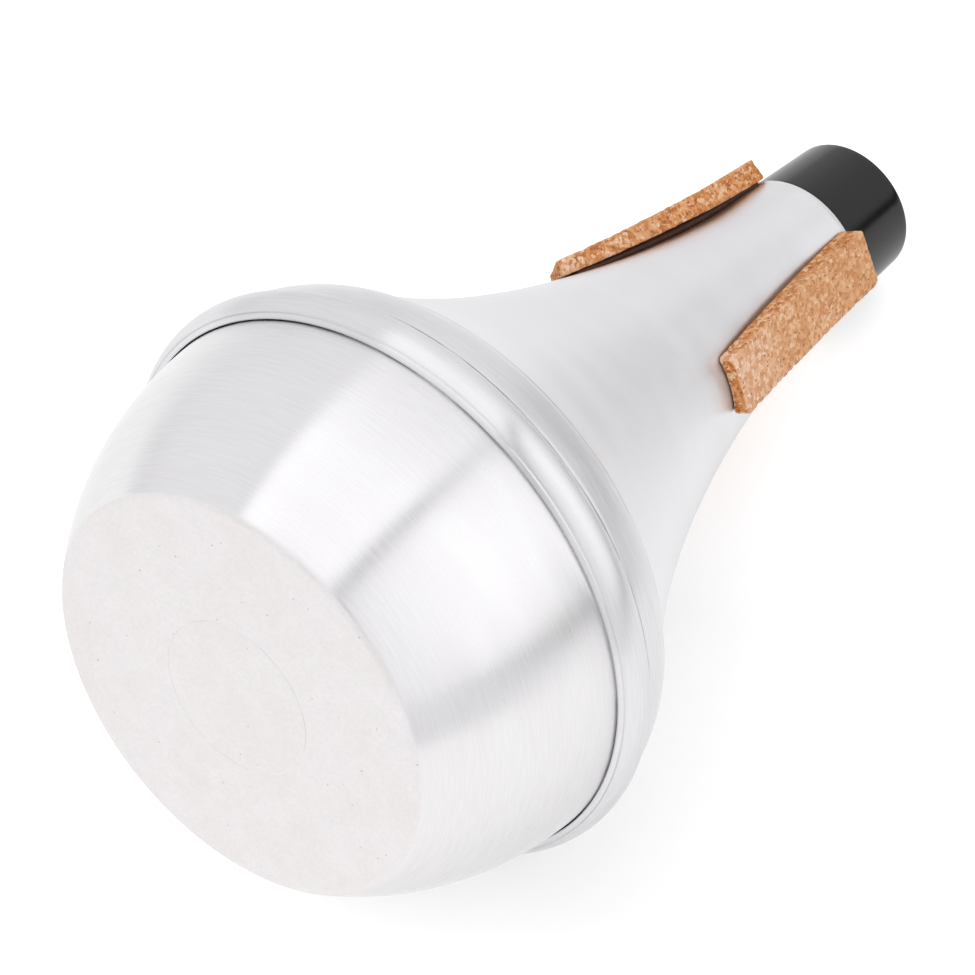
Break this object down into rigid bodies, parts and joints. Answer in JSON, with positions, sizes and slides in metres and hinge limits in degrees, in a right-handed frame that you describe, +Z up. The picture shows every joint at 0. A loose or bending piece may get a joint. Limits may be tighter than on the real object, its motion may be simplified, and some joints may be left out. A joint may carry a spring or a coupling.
{
  "type": "trumpet straight mute",
  "caption": "Straight mute for a trumpet: flared metal shell with a closed cup base, an open plastic neck and glued cork strips that hold it in the bell.",
  "frame": {"origin": "on the floor, under the middle of the mute as it lies on its side on its widest band and the rim of its sleeve", "axes": "+X along the floor from the base to the neck, +Z up, and Y across, so that the XZ plane halves the mute"},
  "size_m": [0.1762, 0.104, 0.1],
  "materials": {
    "cup_aluminium": "spun aluminium, fine satin lines round the wall, matte base",
    "cone_aluminium": "spun aluminium, satin rolled band, soft matte flare",
    "black_plastic": "satin moulded plastic",
    "granulated_cork": "sanded granulated cork"
  },
  "bodies": {
    "root": {"base_cup": "cup_aluminium", "cone_body": "cone_aluminium", "neck_sleeve": "black_plastic", "cork_strip_1": "granulated_cork", "cork_strip_2": "granulated_cork", "cork_strip_3": "granulated_cork"}
  },
  "joints": []
}
